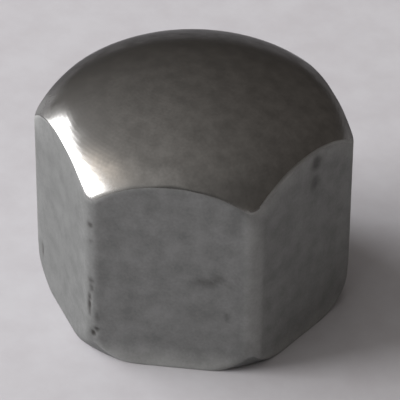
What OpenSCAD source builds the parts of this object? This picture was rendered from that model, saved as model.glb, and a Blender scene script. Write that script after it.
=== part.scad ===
// Low cap nut, turned from hexagon bar, with a ball crown and a blind threaded hole.
// Millimetres. The origin is the middle of the bearing face, and +Z runs up through the crown.

/* [Hexagon] */
// Width across the flats
across_flats = 13; // [11:0.5:17]
// Overall height, from the bearing face to the top of the crown
height = 12; // [10.5:0.5:16]
// Rounding of the six upright edges of the drawn bar
corner_r = 0.7; // [0.2:0.1:1.5]

/* [Crown] */
// Radius of the ball that forms the crown
crown_r = 12.3; // [11.5:0.1:16]
// Radius of the knuckle that turns the ball down towards the flats
knuckle_r = 4.4; // [3:0.1:5]
// How far inside the flats the ball gives way to the knuckle
knuckle_margin = 1; // [0.5:0.1:2]

/* [Bearing end] */
// How far past the flats, towards the corners, the bearing face reaches
bearing_reach = 0.25; // [0.15:0.05:0.4]
// Radius of the heel, the round that takes the corners off above the bearing face
heel_r = 2.5; // [1.5:0.25:4]

/* [Threaded hole] */
// Nominal diameter of the thread
thread_d = 8; // [6:0.5:9]
// Pitch of the thread
pitch = 1.25; // [0.75:0.25:1.5]
// How far outside the thread the countersunk mouth reaches
mouth_margin = 0.3; // [0.1:0.05:0.6]
// Full angle of the countersink, in degrees
mouth_angle = 120; // [90:5:130]
// Full angle of the drill point at the blind end, in degrees
point_angle = 118; // [110:1:140]
// Metal left between the drill point and the top of the crown
crown_wall = 1.2; // [0.8:0.1:3]

/* [Hidden] */
$fn = 120;
cut = 1;
// Hair by which the round corners stand over the flats, so that the faces join cleanly
overlap = 0.0005;
// Margin outside the corners at which the heel's arc would stand upright
heel_margin = 0.03;

// Hexagon: the radii of the flats and of the circle that holds the corner centres
flat_r = across_flats / 2;
corner_centre_r = (flat_r - corner_r) / cos(30);

// Crown: the ball and the knuckle touch on the line through both centres
ball_z = height - crown_r;
ball_reach = flat_r - knuckle_margin;
ball_reach_angle = asin(ball_reach / crown_r);
knuckle_x = (crown_r - knuckle_r) * sin(ball_reach_angle);
knuckle_z = ball_z + (crown_r - knuckle_r) * cos(ball_reach_angle);

// Bearing end: the heel's arc leaves the bearing face at its rim and climbs to the corners
bearing_r = flat_r + bearing_reach;
bar_r = flat_r / cos(30) + cut;
heel_x = corner_centre_r + corner_r + heel_margin - heel_r;
heel_z = sqrt(pow(heel_r, 2) - pow(bearing_r - heel_x, 2));

// Hole: the tapping drill leaves five eighths of the sharp thread on each side
sharp_thread = pitch * cos(30);
bore_r = thread_d / 2 - sharp_thread * 5 / 8;
mouth_r = thread_d / 2 + mouth_margin;
mouth_depth = (mouth_r - bore_r) / tan(mouth_angle / 2);
point_length = bore_r / tan(point_angle / 2);
bore_depth = height - crown_wall - point_length;

// Section of the drawn bar: six flats that run into round corners
module bar_section() {
    polygon([
        for (corner = [30:60:330])
            for (side = [-30, 30])
                corner_centre_r * [cos(corner), sin(corner)] + corner_r * [cos(corner + side), sin(corner + side)]
    ]);
    for (corner = [30:60:330])
        rotate(corner) translate([corner_centre_r, 0]) circle(r = corner_r + overlap);
}

// Wedge of the ball, from the axis out to the line where the knuckle takes over
module ball_section() {
    intersection() {
        translate([0, ball_z]) circle(r = crown_r);
        polygon([
            [0, ball_z],
            [2 * crown_r * tan(ball_reach_angle), ball_z + 2 * crown_r],
            [0, ball_z + 2 * crown_r]
        ]);
    }
}

// What the heel takes off: all that lies outside its arc, from the bearing face up to its middle
module heel_cut() {
    difference() {
        translate([heel_x, -cut]) square([bar_r - heel_x, heel_z + cut]);
        translate([heel_x, heel_z]) circle(r = heel_r);
    }
}

// Half section of the turned form: ball, knuckle, and the heel at the bearing end
module turned_section() {
    difference() {
        intersection() {
            union() {
                ball_section();
                translate([knuckle_x, knuckle_z]) circle(r = knuckle_r);
                square([knuckle_x + knuckle_r, knuckle_z]);
            }
            square([bar_r, height + cut]);
        }
        heel_cut();
    }
}

// Blind hole: countersunk mouth, straight bore at the thread's inner diameter, drill point
module threaded_hole() {
    translate([0, 0, -cut]) cylinder(r = bore_r, h = bore_depth + cut);
    translate([0, 0, bore_depth]) cylinder(r1 = bore_r, r2 = 0, h = point_length);
    cylinder(r1 = mouth_r, r2 = bore_r, h = mouth_depth);
}

// The nut: what is left of the hexagon bar inside the turned form, drilled from below.
// The crown's knuckle meets each flat in an arc, which dips at the corners.
module cap_nut() {
    color([0.42, 0.41, 0.4])
    difference() {
        intersection() {
            linear_extrude(height = height) bar_section();
            rotate_extrude() turned_section();
        }
        threaded_hole();
    }
}

cap_nut();
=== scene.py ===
import math

import bmesh
import bpy
import numpy as np
from mathutils import Matrix, Vector


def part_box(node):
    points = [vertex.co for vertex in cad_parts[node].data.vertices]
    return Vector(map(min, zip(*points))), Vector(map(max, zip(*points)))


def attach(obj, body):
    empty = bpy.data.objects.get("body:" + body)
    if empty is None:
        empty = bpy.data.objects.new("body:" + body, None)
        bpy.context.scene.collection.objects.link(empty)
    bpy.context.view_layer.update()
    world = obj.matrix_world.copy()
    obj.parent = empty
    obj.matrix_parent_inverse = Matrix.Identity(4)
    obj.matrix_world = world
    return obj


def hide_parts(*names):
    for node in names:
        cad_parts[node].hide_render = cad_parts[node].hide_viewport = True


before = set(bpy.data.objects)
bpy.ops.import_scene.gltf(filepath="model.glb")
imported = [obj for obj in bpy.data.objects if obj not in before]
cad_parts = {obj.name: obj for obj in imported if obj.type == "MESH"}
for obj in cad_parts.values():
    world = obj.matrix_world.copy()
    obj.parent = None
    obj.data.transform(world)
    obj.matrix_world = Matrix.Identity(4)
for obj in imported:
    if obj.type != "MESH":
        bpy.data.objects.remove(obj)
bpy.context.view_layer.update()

mm = 0.001  # the frame is in metres, and the nut's values below are in millimetres
sixth = math.pi / 3  # the turn from one flat to the next

# The nut

lowCorner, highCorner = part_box("cap_nut")

nut = {
    "acrossFlats": 2 * highCorner.x / mm,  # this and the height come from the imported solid
    "height": (highCorner.z - lowCorner.z) / mm,
    "cornerRadius": 0.9,  # upright edges of the drawn bar
    "crownRadius": 12.3,  # the ball
    "knuckleRadius": 4.4,  # the turn from the ball down to the flats
    "knuckleMargin": 1.0,  # how far inside the flats the ball ends
    "bearingReach": 0.25,  # how far past the flats the bearing face reaches towards the corners
    "heelRadius": 2.5,  # the round that takes the corners off above the bearing face
    "heelMargin": 0.03,  # how far outside the corners the heel's arc would stand upright
    # the hole
    "threadDiameter": 8,
    "pitch": 1.25,
    "threadPart": 5 / 8,  # how much of the sharp thread's height is left on each side
    "threadSteps": (0, 4 / 16, 9 / 16, 11 / 16),  # where crest, flank, root and flank begin in one pitch
    "runOut": 1.3,  # length over which the thread fades at the blind end
    "plainEnd": 0.5,  # length of bore left plain beyond that
    "mouthMargin": 0.3,  # how far outside the thread the countersunk mouth reaches
    "mouthAngle": 120,
    "pointAngle": 118,
    "crownWall": 1.2,  # metal between the drill point and the top of the crown
    # edges that tumbling has rounded
    "heelEdge": 0.12,  # where the heel runs into the wall
    "bearingEdge": 0.08,  # round the bearing face
    "mouthEdge": 0.05,  # round the countersink
    # wear and painted light: six values go round the flats from +X, or round the corners from +30 degrees
    "arcWear": (0.09, 0.05, 0.035, 0.035, 0.03, 0.1),  # rounding of each flat's arc against the crown
    "arcWaves": ((5, 1, 0.35), (23, 0, 0.25)),  # waves in that rounding: count, phase and strength
    "cornerWear": (0.0, 0.1, 0.1, 0.09, 0.06, 0.16),  # how much rounder the arcs are at each corner
    "cornerSpread": 0.16,  # how far round from a corner that reaches, in radians
    # painted light: the next values paint the wall paler where the flats catch light from the floor and the
    # window, most on the flat turned away from the window
    "flatPaintedLight": (1.0, 0.3, 0.1, 0.25, 0.0, 0.22),  # painted light: how much lighter each flat is painted
    "footPaintedLight": (2.3, 0.6, 0.4, 0.5, 0.0, 1.8),  # painted light: how much lighter each flat's foot is painted, for the floor's light
    "footPaintedLightHeight": 1.6,  # height up to which the foot is painted lighter
    "arcPaintedHighlight": (2.0, 0.5, 0.5, 0.5, 0.2, 0.15),  # painted highlight: how much lighter each flat is painted under its arc, where the rounded edge catches light
    "arcPaintedHighlightReach": 1.2,  # how far under the crown that painted highlight reaches
    "cornerPaintedHighlight": (0.5, 0.4, 0.5, 0.4, 0.1, 1.9),  # painted highlight: how much lighter each rounded corner is painted
    "cornerPaintedHighlightReach": (0.5, 0.2, 0.2, 0.2, 0.2, 0.2),  # how far from its corners each flat is painted lighter with them
    "cornerPaintedHighlightWidth": 0.6,  # width over which a corner's painted highlight grows to its full share
    "paintedLightDepth": 0.1,  # how far inside the wall a point may lie and still be painted lighter
    "dullCorner": -150,  # the corner whose top is rubbed dull, in degrees
    "dullOut": 7,  # where on that corner, from the axis and from the floor
    "dullHeight": 9.2,
    "waviness": 0.004,  # how far the polished crown is from a perfect ball
    "waveLength": 3.2,
    "waveSeed": 5,
    "waveDrop": 0.6,  # sinks the waves, so that their crests hardly rise over the ball
    "waveMargin": 0.5,  # how far inside the flats the waves reach their full height
    "stainSpread": 1.6,  # lets the full dark of a mark reach a little past the middle of its dent
}

grid = {
    "flatColumns": 36,
    "cornerColumns": 12,
    "crownRows": 45,
    "crowding": 1.7,  # how strongly the crown's rows crowd towards its edge
    "wallRows": 84,
    "ringRows": 16,  # on the bearing face
    "flankRows": 4,  # on each of the four parts of a thread's pitch
    "pointRows": 6,  # on the cone at the blind end
    "middle": 0.45,  # height of the point that the grid slides towards, as a share of the nut's
    "nearest": 0.85,  # how near to it a point may end, as a share of its first distance
    "halvings": 26,  # of the slide, after which it is finer than the mesh can hold
    "mergeWithin": 0.0002,  # vertices closer than this become one
    "sharpFrom": 32,  # degrees between two faces from which their edge is shaded sharp
}


def nutSizes(n):
    # sizes that follow from the driving ones
    flatR = n["acrossFlats"] / 2
    cos30 = math.cos(math.radians(30))
    ballZ = n["height"] - n["crownRadius"]
    reach = math.asin((flatR - n["knuckleMargin"]) / n["crownRadius"])
    inner = n["crownRadius"] - n["knuckleRadius"]
    boreR = n["threadDiameter"] / 2 - n["pitch"] * cos30 * n["threadPart"]
    pointLength = boreR / math.tan(math.radians(n["pointAngle"] / 2))
    bearingR = flatR + n["bearingReach"]
    cornerTip = (flatR - n["cornerRadius"]) / cos30 + n["cornerRadius"]
    heelX = cornerTip + n["heelMargin"] - n["heelRadius"]
    return {
        "flatR": flatR,
        "cornerX": flatR - n["cornerRadius"],
        "cornerY": (flatR - n["cornerRadius"]) * math.tan(math.radians(30)),
        "ballZ": ballZ,
        "reach": reach,
        "knuckleX": inner * math.sin(reach),
        "knuckleZ": ballZ + inner * math.cos(reach),
        "heelX": heelX,
        "heelZ": math.sqrt(n["heelRadius"] ** 2 - (bearingR - heelX) ** 2),
        "boreR": boreR,
        "mouthR": n["threadDiameter"] / 2 + n["mouthMargin"],
        "mouthSlope": math.tan(math.radians(n["mouthAngle"] / 2)),
        "pointLength": pointLength,
        "boreDepth": n["height"] - n["crownWall"] - pointLength,
        "threadDepth": n["threadDiameter"] / 2 - boreR,
    }


size = nutSizes(nut)


def eased(t):
    # from nought to one, with a soft start and end
    t = np.clip(t, 0, 1)
    return t * t * (3 - 2 * t)


def flatOf(angle):
    # number of the flat nearest to an angle, round from +X
    return np.round(angle / sixth).astype(int) % 6


def cornerOf(angle):
    # number of the corner nearest to an angle, round from +30 degrees
    return np.floor(angle / sixth).astype(int) % 6


def outAndAside(x, y, angle):
    # how far points lie out along an angle round the axis, and how far to its side
    return x * np.cos(angle) + y * np.sin(angle), y * np.cos(angle) - x * np.sin(angle)


def nearestFlat(x, y):
    # out along the normal of the flat that each point belongs to, and sideways along that flat
    return outAndAside(x, y, np.round(np.arctan2(y, x) / sixth) * sixth)


def barDistance(x, y):
    # distance outside the hexagon with round corners: from a flat's plane, or from a corner's circle
    out, side = nearestFlat(x, y)
    side = np.abs(side)
    atCorner = np.hypot(np.maximum(out - size["cornerX"], 0), side - size["cornerY"]) - nut["cornerRadius"]
    return np.where(side > size["cornerY"], atCorner, out - size["flatR"])


def crownDistance(r, z):
    # distance outside the ball near the axis, outside the knuckle's circle past the line through both
    # centres, and outside the upright below the knuckle's centre
    ball = np.hypot(r, z - size["ballZ"]) - nut["crownRadius"]
    above = np.maximum(z - size["knuckleZ"], 0)
    knuckle = np.hypot(r - size["knuckleX"], above) - nut["knuckleRadius"]
    return np.where(np.arctan2(r, z - size["ballZ"]) < size["reach"], ball, knuckle)


def crownHeight(r):
    # height of the ball or of the knuckle at a radius
    ball = size["ballZ"] + np.sqrt(nut["crownRadius"] ** 2 - r**2)
    square = nut["knuckleRadius"] ** 2 - (r - size["knuckleX"]) ** 2
    knuckle = size["knuckleZ"] + np.sqrt(np.maximum(square, 0))
    return np.where(r < nut["crownRadius"] * math.sin(size["reach"]), ball, knuckle)


def roundedMax(a, b, radius):
    # the larger of two distances, which leaves an edge of that radius where their surfaces meet
    apart = np.hypot(np.maximum(a + radius, 0), np.maximum(b + radius, 0))
    return np.minimum(-radius, np.maximum(a, b)) + apart


def nutDistance(x, y, z, arcEdge):
    # distance outside the whole outer form, all edges rounded
    r = np.hypot(x, y)
    form = roundedMax(barDistance(x, y), crownDistance(r, z), arcEdge)
    below = np.maximum(size["heelZ"] - z, 0)
    heel = np.hypot(np.maximum(r - size["heelX"], 0), below) - nut["heelRadius"]
    heel -= np.maximum(z - size["heelZ"], 0) ** 2  # above its arc the heel no longer rounds anything
    form = roundedMax(form, heel, nut["heelEdge"])
    return roundedMax(form, -z, nut["bearingEdge"])


def columnAngles():
    # even steps along each flat and each corner, the corners finer, starting at one end of the flat on +X
    halfFlat = math.atan2(size["cornerY"], size["flatR"])
    corner = np.linspace(halfFlat, sixth - halfFlat, grid["cornerColumns"], endpoint=False)
    side = np.linspace(-size["cornerY"], size["cornerY"], grid["flatColumns"], endpoint=False)
    oneSixth = np.concatenate([np.arctan2(side, size["flatR"]), corner])
    return (np.arange(6)[:, None] * sixth + oneSixth[None, :]).ravel()


def barRadius(angle):
    # how far out the hexagon with round corners reaches along an angle
    fromFlat = np.abs((angle + sixth / 2) % sixth - sixth / 2)
    fromCorner = sixth / 2 - fromFlat
    centre = math.hypot(size["cornerX"], size["cornerY"])
    square = nut["cornerRadius"] ** 2 - (centre * np.sin(fromCorner)) ** 2
    corner = centre * np.cos(fromCorner) + np.sqrt(np.maximum(square, 0))
    onCorner = np.tan(fromFlat) * size["flatR"] > size["cornerY"]
    return np.where(onCorner, corner, size["flatR"] / np.cos(fromFlat))


def arcEdges(angle):
    # rounding of the arcs along an angle: it runs from each flat's value to the next, made uneven by a few
    # sine waves, and grows near the corners
    edge = np.interp(angle % math.tau, np.arange(7) * sixth, nut["arcWear"] + nut["arcWear"][:1])
    uneven = sum(strength * np.sin(count * angle + phase) for count, phase, strength in nut["arcWaves"])
    nearCorner = np.exp(-((angle % sixth - sixth / 2) / nut["cornerSpread"]) ** 2)
    return edge * (1 + uneven) + np.array(nut["cornerWear"])[cornerOf(angle)] * nearCorner


def outerGrid(angle):
    # rows run from the crown's pole over the arc, down the wall and in along the bearing face, first with
    # sharp edges and no heel, then each point slides towards the nut's middle, halving the step each time,
    # until it lies on the rounded form
    edge = barRadius(angle)[None, :]
    onCrown, onWall, onRing = (
        np.linspace(0, 1, grid[key] + 1)[1:, None] for key in ("crownRows", "wallRows", "ringRows")
    )
    crownR = edge * (1 - (1 - onCrown) ** grid["crowding"])
    wallZ = crownHeight(edge) * (1 + np.cos(math.pi * onWall)) / 2
    ringR = edge + (size["mouthR"] + nut["mouthEdge"] - edge) * (1 - np.cos(math.pi * onRing / 2))
    r = np.vstack([crownR, edge + 0 * wallZ, ringR])
    z = np.vstack([crownHeight(crownR), wallZ, 0 * ringR])
    x, y = r * np.cos(angle), r * np.sin(angle)
    middle = nut["height"] * grid["middle"]
    arcEdge = arcEdges(angle)
    low, high = np.full(r.shape, grid["nearest"]), np.ones(r.shape)
    for _ in range(grid["halvings"]):
        half = (low + high) / 2
        inside = nutDistance(x * half, y * half, middle + (z - middle) * half, arcEdge) < 0
        low, high = np.where(inside, half, low), np.where(inside, high, half)
    return np.stack([x * low, y * low, middle + (z - middle) * low], axis=-1)


def boreGrid(angle):
    # radius as a function of turn and height: a trapezoid thread that follows a rising helix, or the
    # countersink where that is wider. Rows follow the helix, and those past an end are pressed onto it.
    pitch, depth = nut["pitch"], size["boreDepth"]
    steps = nut["threadSteps"] + (1,)
    flank, root, flankBack = steps[1:4]
    parts = [np.linspace(a, b, grid["flankRows"], endpoint=False) for a, b in zip(steps, steps[1:])]
    turns = np.arange(-1, math.ceil(depth / pitch) + 1)
    turn = (turns[:, None] + np.concatenate(parts)[None, :]).ravel()[:, None]
    z = np.clip((turn + angle[None, :] / math.tau) * pitch, 0, depth)
    share = turn % 1
    shape = np.clip(np.minimum((share - flank) / (root - flank), (1 - share) / (1 - flankBack)), 0, 1)
    fade = eased((depth - nut["plainEnd"] - z) / nut["runOut"])
    thread = size["boreR"] + size["threadDepth"] * shape * fade
    curl = np.maximum(1 - z / nut["mouthEdge"], 0) ** 2 * nut["mouthEdge"]
    r = np.maximum(thread, size["mouthR"] - z * size["mouthSlope"] + curl)
    t = np.linspace(0, 1, grid["pointRows"] + 1)[1:-1, None]
    r = np.vstack([r, size["boreR"] * (1 - t) + 0 * angle])
    z = np.vstack([z, depth + size["pointLength"] * t + 0 * angle])
    return np.stack([r * np.cos(angle), r * np.sin(angle), z], axis=-1)


def gridFaces(rows, columns, start, closed):
    # quads between neighbouring rows and columns of a grid whose first vertex has the number start
    wide = columns if closed else columns - 1
    i, j = np.meshgrid(np.arange(rows - 1) * columns, np.arange(wide), indexing="ij")
    k = (j + 1) % columns
    quads = np.stack([i + j, i + columns + j, i + columns + k, i + k], axis=-1)
    return quads.reshape(-1, 4) + start


def fanFaces(columns, start, pole, closed):
    # triangles from a pole to a ring of vertices
    wide = columns if closed else columns - 1
    j = np.arange(wide)
    return np.stack([np.full(wide, pole), start + j, start + (j + 1) % columns], axis=-1)


def smoothNoise(points, scale, seed, waves=7):
    # soft lumps: a few sine waves in seeded directions, their lengths about 0.7 to 1.4 times the scale
    rng = np.random.default_rng(seed)
    total = np.zeros(len(points))
    for _ in range(waves):
        direction = rng.normal(size=3)
        direction *= rng.uniform(0.7, 1.4) * math.tau / scale / np.linalg.norm(direction)
        total += np.sin(points @ direction + rng.uniform(0, math.tau))
    return total / waves


# Marks that the photograph shows. Each lies on the wall: the turn is in degrees, the rest in millimetres.
marks = [
    # turn, height, half width, half height, depth, stain
    (-89.8, 7.57, 0.14, 0.12, 0.05, 0.62),
    (-89.4, 6.67, 0.12, 0.10, 0.03, 0.36),
    (-89.7, 4.45, 0.15, 0.14, 0.05, 0.55),
    (-89.6, 4.05, 0.11, 0.11, 0.05, 0.60),
    (-90.7, 3.50, 0.09, 0.18, 0.06, 0.68),
    (-90.9, 3.05, 0.09, 0.26, 0.07, 0.82),
    (-90.8, 2.62, 0.08, 0.15, 0.05, 0.50),
    (-87.6, 2.50, 0.09, 0.22, 0.02, 0.30),
    (-87.9, 1.80, 0.12, 0.11, 0.06, 0.78),
    (-89.4, 1.50, 0.12, 0.15, 0.07, 0.82),
    (-142.6, 1.85, 0.09, 0.30, 0.04, 0.70),
    (-46.8, 5.08, 0.40, 0.18, 0.00, 0.34),
    (-41.7, 5.28, 0.28, 0.13, 0.00, 0.30),
    (-51.4, 4.90, 0.24, 0.10, 0.00, 0.24),
    (-37.6, 4.96, 0.20, 0.13, 0.00, 0.20),
    (-35.4, 5.42, 0.16, 0.12, 0.00, 0.14),
    (-38.6, 3.22, 0.11, 0.20, 0.02, 0.32),
    (5.8, 9.42, 0.28, 0.32, 0.02, 0.50),
    (5.4, 8.40, 0.27, 0.32, 0.01, 0.36),
]


def wearAndTear(points, normals):
    # moves the points along their normals by the crown's waves and a soft dent for each mark, and gives how
    # stained each one is and how much paler it is painted for the light that it catches, with the rubbed dull
    # top of one corner
    x, y, z = points.T
    angle, inBar = np.arctan2(y, x), -barDistance(x, y)
    flat, corner = flatOf(angle), cornerOf(angle)
    share = {key: np.array(nut[key])[flat] for key in ("flatPaintedLight", "footPaintedLight", "arcPaintedHighlight", "cornerPaintedHighlightReach")}

    onCrown = np.clip(inBar / nut["waveMargin"], 0, 1) * (z > size["knuckleZ"])
    waves = smoothNoise(points, nut["waveLength"], nut["waveSeed"]) - nut["waveDrop"]
    shift = nut["waviness"] * onCrown * waves
    stain = np.zeros(len(points))
    for turn, height, halfWidth, halfHeight, depth, dark in marks:
        out, side = outAndAside(x, y, math.radians(turn))
        far = (side / halfWidth) ** 2 + ((z - height) / halfHeight) ** 2
        near = np.exp(-far) * (out > size["cornerX"])
        shift -= depth * near
        stain = np.maximum(stain, dark * np.clip(nut["stainSpread"] * near, 0, 1))

    pastFlat = np.abs(nearestFlat(x, y)[1]) - size["cornerY"]
    # painted light: each flat, foot, arc edge and corner is painted paler by its share, for light that it
    # catches from the floor and the window
    rubs = [
        eased((pastFlat + share["cornerPaintedHighlightReach"]) / nut["cornerPaintedHighlightWidth"]) * np.array(nut["cornerPaintedHighlight"])[corner],
        eased(1 - z / nut["footPaintedLightHeight"]) * share["footPaintedLight"],
        eased(1 + crownDistance(np.hypot(x, y), z) / nut["arcPaintedHighlightReach"]) * share["arcPaintedHighlight"],
        share["flatPaintedLight"],
    ]
    rub = np.max(rubs, axis=0) * (inBar < nut["paintedLightDepth"])
    out, side = outAndAside(x, y, math.radians(nut["dullCorner"]))
    far = (out - nut["dullOut"]) ** 2 + side**2 + (z - nut["dullHeight"]) ** 2
    return points + normals * shift[:, None], stain, np.maximum(rub, np.exp(-far))


def meshFrom(name, points, faces):
    # a mesh whose coinciding vertices are merged, with every face pointing outwards
    mesh = bpy.data.meshes.new(name)
    mesh.from_pydata((points * mm).tolist(), [], faces)
    work = bmesh.new()
    work.from_mesh(mesh)
    bmesh.ops.remove_doubles(work, verts=work.verts, dist=grid["mergeWithin"] * mm)
    bmesh.ops.dissolve_degenerate(work, edges=work.edges, dist=grid["mergeWithin"] * mm)
    bmesh.ops.recalc_face_normals(work, faces=work.faces)
    work.to_mesh(mesh)
    work.free()
    return mesh


def vectorsOf(items, key):
    # one vector for each vertex or face of a mesh, as one array
    values = np.empty(len(items) * 3)
    items.foreach_get(key, values)
    return values.reshape(-1, 3)


def buildNut():
    angle = columnAngles()
    columns = len(angle)
    outer = outerGrid(angle)
    bore = boreGrid(np.append(angle, angle[0] + math.tau))
    outerCount = len(outer) * columns
    crownPole = outerCount + len(bore) * (columns + 1)
    poles = [[0, 0, nut["height"]], [0, 0, size["boreDepth"] + size["pointLength"]]]
    points = np.vstack([outer.reshape(-1, 3), bore.reshape(-1, 3), poles])
    faces = [
        *fanFaces(columns, 0, crownPole, True).tolist(),
        *gridFaces(len(outer), columns, 0, True).tolist(),
        *gridFaces(len(bore), columns + 1, outerCount, False).tolist(),
        *fanFaces(columns + 1, crownPole - columns - 1, crownPole + 1, False).tolist(),
    ]
    mesh = meshFrom("nut", points, faces)
    moved, stain, rub = wearAndTear(vectorsOf(mesh.vertices, "co") / mm, vectorsOf(mesh.vertices, "normal"))
    mesh.vertices.foreach_set("co", (moved * mm).ravel())
    # painted light: the second attribute says how much paler each point is painted, and where one corner is
    # rubbed dull
    for name, values in (("stain", stain), ("rub", rub)):
        mesh.attributes.new(name, "FLOAT", "POINT").data.foreach_set("value", values)
    mesh.polygons.foreach_set("use_smooth", np.ones(len(mesh.polygons), bool))
    mesh.update()
    return mesh


# Which faces have which finish
zones = {
    "facedBelow": 0.03,  # the bearing face is all that lies lower than this, outside the hole
    "holeWall": 1.2,  # the hole is all that lies further than this inside the flats,
    "holeRoof": 1.0,  # and further than this inside the crown,
    "holeSlack": 0.01,  # and nearer the axis than the mouth's rim and this
}


def zoneOfFaces(mesh):
    # number of each face's finish: 0 turned crown, 1 drawn flats, 2 faced bearing end, 3 tapped hole
    x, y, z = vectorsOf(mesh.polygons, "center").T / mm
    r = np.hypot(x, y)
    pastBar, pastCrown = barDistance(x, y), crownDistance(r, z)
    zone = np.where(pastCrown > pastBar, 0, 1)
    zone = np.where((z < zones["facedBelow"]) & (r > size["mouthR"]), 2, zone)
    inHole = (pastBar < -zones["holeWall"]) & (pastCrown < -zones["holeRoof"])
    inHole &= (z < size["boreDepth"] + size["pointLength"]) & (r < size["mouthR"] + zones["holeSlack"])
    return np.where(inHole, 3, zone)


# Materials

mixDark, mixLight, mixed = 6, 7, 2  # numbers of a colour Mix node's two colours, and of what comes out


def linear(hexColour):
    # an sRGB hex colour as the linear numbers that the shaders use
    parts = [int(hexColour[i:i + 2], 16) / 255 for i in (1, 3, 5)]
    return [c / 12.92 if c <= 0.04045 else ((c + 0.055) / 1.055) ** 2.4 for c in parts] + [1.0]


def addNode(tree, kind, inputs=None, **settings):
    # one node with its settings, and its inputs set to a value or linked to a socket
    node = tree.nodes.new(kind)
    for key, value in settings.items():
        setattr(node, key, value)
    for key, value in (inputs or {}).items():
        if isinstance(value, bpy.types.NodeSocket):
            tree.links.new(value, node.inputs[key])
        else:
            node.inputs[key].default_value = value
    return node


def emptyMaterial(name):
    material = bpy.data.materials.new(name)
    material.use_nodes = True
    material.node_tree.nodes.clear()
    return material


steel = {
    "rim": "#9b9b9b",  # bare iron mirrors a little less than other metals at a grazing angle
    "pit": "#2c2826",
    "pitRoughness": 0.35,  # how much rougher a full stain is
    # painted light: the paler colour towards which the places painted for caught light, and the rubbed dull
    # corner, go
    "rubbed": "#a8a9a7",
    "paintedLightAndRubStrength": 0.42,  # how far the places painted paler go towards that colour
    "patches": 0.15,  # how unevenly the clouds let them be painted paler
    "rubRoughness": 0.15,  # how much rougher they are
    "grain": 0.12,  # size of the fine pickled grain, in millimetres
    "grainShare": 0.4,  # how much of the grain is added to the clouds
    "darkest": 0.5,  # sum of both noises where the colour is darkest, and lightest
    "lightest": 0.9,
    "unevenGloss": 0.05,  # how far the clouds move the roughness to either side
    "toolMark": 0.16,  # spacing of the turning marks, drawn coarser than the real 0.05 so that they show
    "ringSpacing": 0.314,  # spacing of the ring texture's rings at a scale of one
}

# The four finishes, in the order of zoneOfFaces. Clouds and bump give a size and a height in millimetres.
finishes = {
    # Turned and tumbled smooth: a darker satin gloss that gathers the window light in one bright streak
    "turnedSteel": {
        "light": "#999896", "dark": "#838280", "roughness": 0.2, "metal": 1.0,
        "clouds": 0.7, "bump": 0.0006, "rings": True,
    },
    # Cold drawn bar, pickled: a dull even grey with faint clouds, so the flats only glow softly.
    # It is about half metal to the eye, because the thin grey skin scatters the rest.
    "drawnSteel": {
        "light": "#7d7e7d", "dark": "#6b6c6b", "roughness": 0.5, "metal": 0.55,
        "clouds": 0.9, "bump": 0.004, "rings": False,
    },
    # Faced on the lathe: fine rings that catch the light
    "facedSteel": {
        "light": "#999896", "dark": "#6b6c6b", "roughness": 0.36, "metal": 1.0,
        "clouds": 0.9, "bump": 0.002, "rings": True,
    },
    # Tapped thread with a trace of cutting oil: darker and wetter
    "tappedSteel": {
        "light": "#8a8580", "dark": "#838280", "roughness": 0.2, "metal": 1.0,
        "clouds": 0.9, "bump": 0.001, "rings": False,
    },
}


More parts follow.
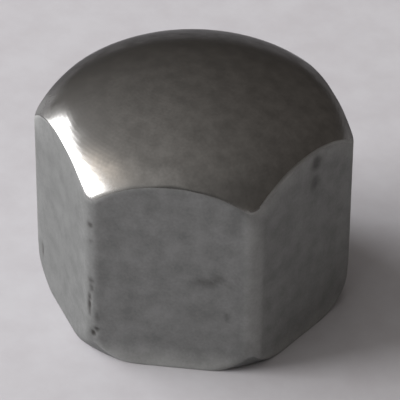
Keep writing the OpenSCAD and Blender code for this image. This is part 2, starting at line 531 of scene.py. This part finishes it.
def steelMaterial(name, finish):
    # a metal whose colour and roughness vary a little with two noises, and whose stained places, places
    # painted paler for caught light, and rubbed dull corner come from the mesh's own attributes
    material = emptyMaterial(name)
    tree = material.node_tree
    place = addNode(tree, "ShaderNodeTexCoord").outputs["Object"]
    clouds = addNode(tree, "ShaderNodeTexNoise", {
        "Vector": place, "Scale": 1 / (finish["clouds"] * mm), "Detail": 3.0, "Roughness": 0.55,
    })
    grain = addNode(tree, "ShaderNodeTexNoise", {
        "Vector": place, "Scale": 1 / (steel["grain"] * mm), "Detail": 2.0, "Roughness": 0.5,
    })
    both = addNode(tree, "ShaderNodeMath", {
        0: grain.outputs["Fac"], 1: steel["grainShare"], 2: clouds.outputs["Fac"],
    }, operation="MULTIPLY_ADD")
    share = addNode(tree, "ShaderNodeMapRange", {
        "Value": both.outputs[0], "From Min": steel["darkest"], "From Max": steel["lightest"],
    }).outputs[0]
    colour = addNode(tree, "ShaderNodeMix", {
        "Factor": share, mixDark: linear(finish["dark"]), mixLight: linear(finish["light"]),
    }, data_type="RGBA")

    # painted light: where the attribute says so, the colour goes towards a paler one and the roughness rises,
    # for light that flats, feet, arcs and corners catch
    rub = addNode(tree, "ShaderNodeAttribute", attribute_name="rub").outputs["Fac"]
    patches = addNode(tree, "ShaderNodeMapRange", {
        "Value": share,
        "To Min": steel["paintedLightAndRubStrength"] * (1 - steel["patches"]),
        "To Max": steel["paintedLightAndRubStrength"] * (1 + steel["patches"]),
    }, clamp=False)
    rubShare = addNode(tree, "ShaderNodeMath", {
        0: rub, 1: patches.outputs[0],
    }, operation="MULTIPLY", use_clamp=True)
    rubbed = addNode(tree, "ShaderNodeMix", {
        "Factor": rubShare.outputs[0], mixDark: colour.outputs[mixed], mixLight: linear(steel["rubbed"]),
    }, data_type="RGBA")

    stain = addNode(tree, "ShaderNodeAttribute", attribute_name="stain").outputs["Fac"]
    stained = addNode(tree, "ShaderNodeMix", {
        "Factor": stain, mixDark: rubbed.outputs[mixed], mixLight: linear(steel["pit"]),
    }, data_type="RGBA")

    gloss = addNode(tree, "ShaderNodeMapRange", {
        "Value": share,
        "To Min": finish["roughness"] + steel["unevenGloss"],
        "To Max": finish["roughness"] - steel["unevenGloss"],
    })
    dull = addNode(tree, "ShaderNodeMath", {
        0: stain, 1: steel["pitRoughness"], 2: gloss.outputs[0],
    }, operation="MULTIPLY_ADD", use_clamp=True)
    duller = addNode(tree, "ShaderNodeMath", {
        0: rub, 1: steel["rubRoughness"], 2: dull.outputs[0],
    }, operation="MULTIPLY_ADD", use_clamp=True)

    relief = grain.outputs["Fac"]
    if finish["rings"]:
        # fine rings round the axis, as a turning tool leaves them, a little uneven
        relief = addNode(tree, "ShaderNodeTexWave", {
            "Vector": place, "Scale": steel["ringSpacing"] / (steel["toolMark"] * mm), "Distortion": 0.6,
            "Detail": 1.0,
        }, wave_type="RINGS", rings_direction="Z").outputs["Fac"]
    bump = addNode(tree, "ShaderNodeBump", {
        "Height": relief, "Strength": 1.0, "Distance": finish["bump"] * mm,
    })
    shader = addNode(tree, "ShaderNodeBsdfPrincipled", {
        "Base Color": stained.outputs[mixed],
        "Metallic": finish["metal"],
        "Roughness": duller.outputs[0],
        "Specular Tint": linear(steel["rim"]),
        "Normal": bump.outputs[0],
    })
    addNode(tree, "ShaderNodeOutputMaterial", {"Surface": shader.outputs[0]})
    return material


nutMesh = buildNut()
for name, finish in finishes.items():
    nutMesh.materials.append(steelMaterial(name, finish))
nutMesh.polygons.foreach_set("material_index", zoneOfFaces(nutMesh).astype(np.int32))
nutMesh.set_sharp_from_angle(angle=math.radians(grid["sharpFrom"]))
nutPiece = bpy.data.objects.new("nut", nutMesh)
bpy.context.scene.collection.objects.link(nutPiece)
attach(nutPiece, "root")
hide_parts("cap_nut")
print("nut:", len(nutMesh.polygons), "faces,", len(finishes), "finishes")

# Floor

floor = {
    "reach": 4.0,  # metres, to each side
    "colour": "#c5c4c8",
    "clouded": "#bfbdc1",
    "clouds": 2.2,  # size of the paper's faint clouds, in millimetres
    "darkest": 0.35,  # noise at the clouded colour, and at the plain one
    "lightest": 0.65,
    "roughness": 0.9,
}


def paperMaterial(name):
    # Matt paper: pale and even, with clouds so faint that they only keep the floor from looking flat
    material = emptyMaterial(name)
    tree = material.node_tree
    place = addNode(tree, "ShaderNodeTexCoord").outputs["Object"]
    clouds = addNode(tree, "ShaderNodeTexNoise", {
        "Vector": place, "Scale": 1 / (floor["clouds"] * mm), "Detail": 4.0, "Roughness": 0.6,
    })
    share = addNode(tree, "ShaderNodeMapRange", {
        "Value": clouds.outputs["Fac"], "From Min": floor["darkest"], "From Max": floor["lightest"],
    })
    colour = addNode(tree, "ShaderNodeMix", {
        "Factor": share.outputs[0], mixDark: linear(floor["clouded"]), mixLight: linear(floor["colour"]),
    }, data_type="RGBA")
    shader = addNode(tree, "ShaderNodeBsdfPrincipled", {
        "Base Color": colour.outputs[mixed], "Roughness": floor["roughness"],
    })
    addNode(tree, "ShaderNodeOutputMaterial", {"Surface": shader.outputs[0]})
    return material


floorMesh = bpy.data.meshes.new("floor")
corners = floor["reach"] * np.array([[-1, -1, 0], [1, -1, 0], [1, 1, 0], [-1, 1, 0]])
floorMesh.from_pydata(corners.tolist(), [], [[0, 1, 2, 3]])
floorMesh.materials.append(paperMaterial("mattPaper"))
floorPiece = bpy.data.objects.new("floor", floorMesh)
bpy.context.scene.collection.objects.link(floorPiece)
print("floor: laid")

# Light: a broad low window on the left, in a dim warm room that glows cooler on the window's side

window = {
    "facing": -143.0,  # degrees, round from +X, of the window's wall
    "distance": 0.4,  # metres
    "left": -43.5,  # degrees from the wall's middle to both ends of the window
    "right": 23.5,
    "sill": 5.0,  # degrees above the floor
    "top": 34.5,
    "radiance": 11.6,
    "colour": "#fbfbfd",
}

# Turns are in degrees round from +X, rises in degrees above the floor. A higher power gives a smaller shape.
room = {
    "dark": "#68635f",
    "shades": [
        # turn, rise, power, share: the dark shape behind the camera, and the dimmer corner to its right
        (-62.0, 22.0, 20.0, 0.8),
        (-12.0, 48.0, 16.0, 0.27),
    ],
    "glows": [
        # turn, rise, power, strength, colour: the wall beside the window, the blind above it, the ceiling
        (-121.0, 12.0, 2.9, 1.12, "#dbdad9"),
        (-138.0, 38.0, 66.0, 1.75, "#e4d5c4"),
        (-60.0, 82.0, 8.0, 0.08, "#dbd8d4"),
    ],
}


def towards(turn, rise):
    a, e = math.radians(turn), math.radians(rise)
    return Vector((math.cos(a) * math.cos(e), math.sin(a) * math.cos(e), math.sin(e)))


def placeWindow(w):
    # a rectangle of light on the window's wall, which faces the nut's axis
    left, right, sill, top = (
        w["distance"] * math.tan(math.radians(w[key])) for key in ("left", "right", "sill", "top")
    )
    lamp = bpy.data.lights.new("window", "AREA")
    lamp.shape = "RECTANGLE"
    lamp.size, lamp.size_y = right - left, top - sill
    lamp.energy = math.pi * lamp.size * lamp.size_y * w["radiance"]
    lamp.color = linear(w["colour"])[:3]
    piece = bpy.data.objects.new("window", lamp)
    away, along = towards(w["facing"], 0), towards(w["facing"] + 90, 0)
    piece.location = away * w["distance"] + along * (left + right) / 2 + Vector((0, 0, (sill + top) / 2))
    piece.rotation_euler = away.to_track_quat("Z", "Y").to_euler()
    piece.visible_camera = False
    bpy.context.scene.collection.objects.link(piece)


def furnishRoom(r):
    # a dark colour all round, plus each glow's colour times a power of how near a direction is to its middle.
    # Each shade, shaped in the same way, takes its share off that sum.
    world = bpy.data.worlds.new("room")
    bpy.context.scene.world = world
    world.use_nodes = True
    tree = world.node_tree
    tree.nodes.clear()
    look = addNode(tree, "ShaderNodeTexCoord").outputs["Generated"]

    def nearness(turn, rise, power):
        # (half the cosine of the angle between them, plus half) ^ power: one at the middle, nought opposite
        cosine = addNode(tree, "ShaderNodeVectorMath", {
            0: look, 1: towards(turn, rise),
        }, operation="DOT_PRODUCT").outputs["Value"]
        near = addNode(tree, "ShaderNodeMath", {0: cosine, 1: 0.5, 2: 0.5}, operation="MULTIPLY_ADD")
        return addNode(tree, "ShaderNodeMath", {0: near.outputs[0], 1: power}, operation="POWER").outputs[0]

    kept = 1.0
    for turn, rise, power, share in r["shades"]:
        rest = addNode(tree, "ShaderNodeMath", {
            0: nearness(turn, rise, power), 1: -share, 2: 1.0,
        }, operation="MULTIPLY_ADD")
        kept = addNode(tree, "ShaderNodeMath", {0: rest.outputs[0], 1: kept}, operation="MULTIPLY").outputs[0]
    light = addNode(tree, "ShaderNodeBackground", {"Color": linear(r["dark"]), "Strength": kept}).outputs[0]
    for turn, rise, power, strength, colour in r["glows"]:
        most = addNode(tree, "ShaderNodeMath", {0: kept, 1: strength}, operation="MULTIPLY")
        level = addNode(tree, "ShaderNodeMath", {
            0: nearness(turn, rise, power), 1: most.outputs[0],
        }, operation="MULTIPLY")
        glow = addNode(tree, "ShaderNodeBackground", {"Color": linear(colour), "Strength": level.outputs[0]})
        light = addNode(tree, "ShaderNodeAddShader", {0: light, 1: glow.outputs[0]}).outputs[0]
    addNode(tree, "ShaderNodeOutputWorld", {"Surface": light})


placeWindow(window)
furnishRoom(room)
print("light: window and room")

# Camera: where the photograph was taken from

view = {
    "azimuth": 38.09,  # degrees, round from the front (-Y) towards +X
    "elevation": 35.67,
    "roll": 0.44,
    "distance": 136.64,  # millimetres, from the point that it looks at
    "lens": 265.9,
    "sensor": 36,
    "aimHeight": 5.98,  # that point: up the nut's axis, then to the right and down in the picture
    "aimRight": 0.336,
    "aimDown": 0.947,
    "nearest": 0.005,  # metres that the camera sees
    "furthest": 20,
}


def placeCamera(v):
    a, e, roll = (math.radians(v[key]) for key in ("azimuth", "elevation", "roll"))
    back = Vector((math.sin(a) * math.cos(e), -math.cos(a) * math.cos(e), math.sin(e)))
    level = Vector((math.cos(a), math.sin(a), 0))
    upright = back.cross(level)
    right = level * math.cos(roll) + upright * math.sin(roll)
    up = upright * math.cos(roll) - level * math.sin(roll)
    aim = Vector((0, 0, v["aimHeight"])) + right * v["aimRight"] - up * v["aimDown"]
    data = bpy.data.cameras.new("camera")
    data.lens = v["lens"]
    data.sensor_width = v["sensor"]
    data.clip_start, data.clip_end = v["nearest"], v["furthest"]
    piece = bpy.data.objects.new("camera", data)
    turn = Matrix((right, up, back)).transposed().to_4x4()
    piece.matrix_world = Matrix.Translation((aim + back * v["distance"]) * mm) @ turn
    bpy.context.scene.collection.objects.link(piece)
    bpy.context.scene.camera = piece


placeCamera(view)
bpy.context.scene.view_settings.view_transform = "Standard"
print("camera: in place")
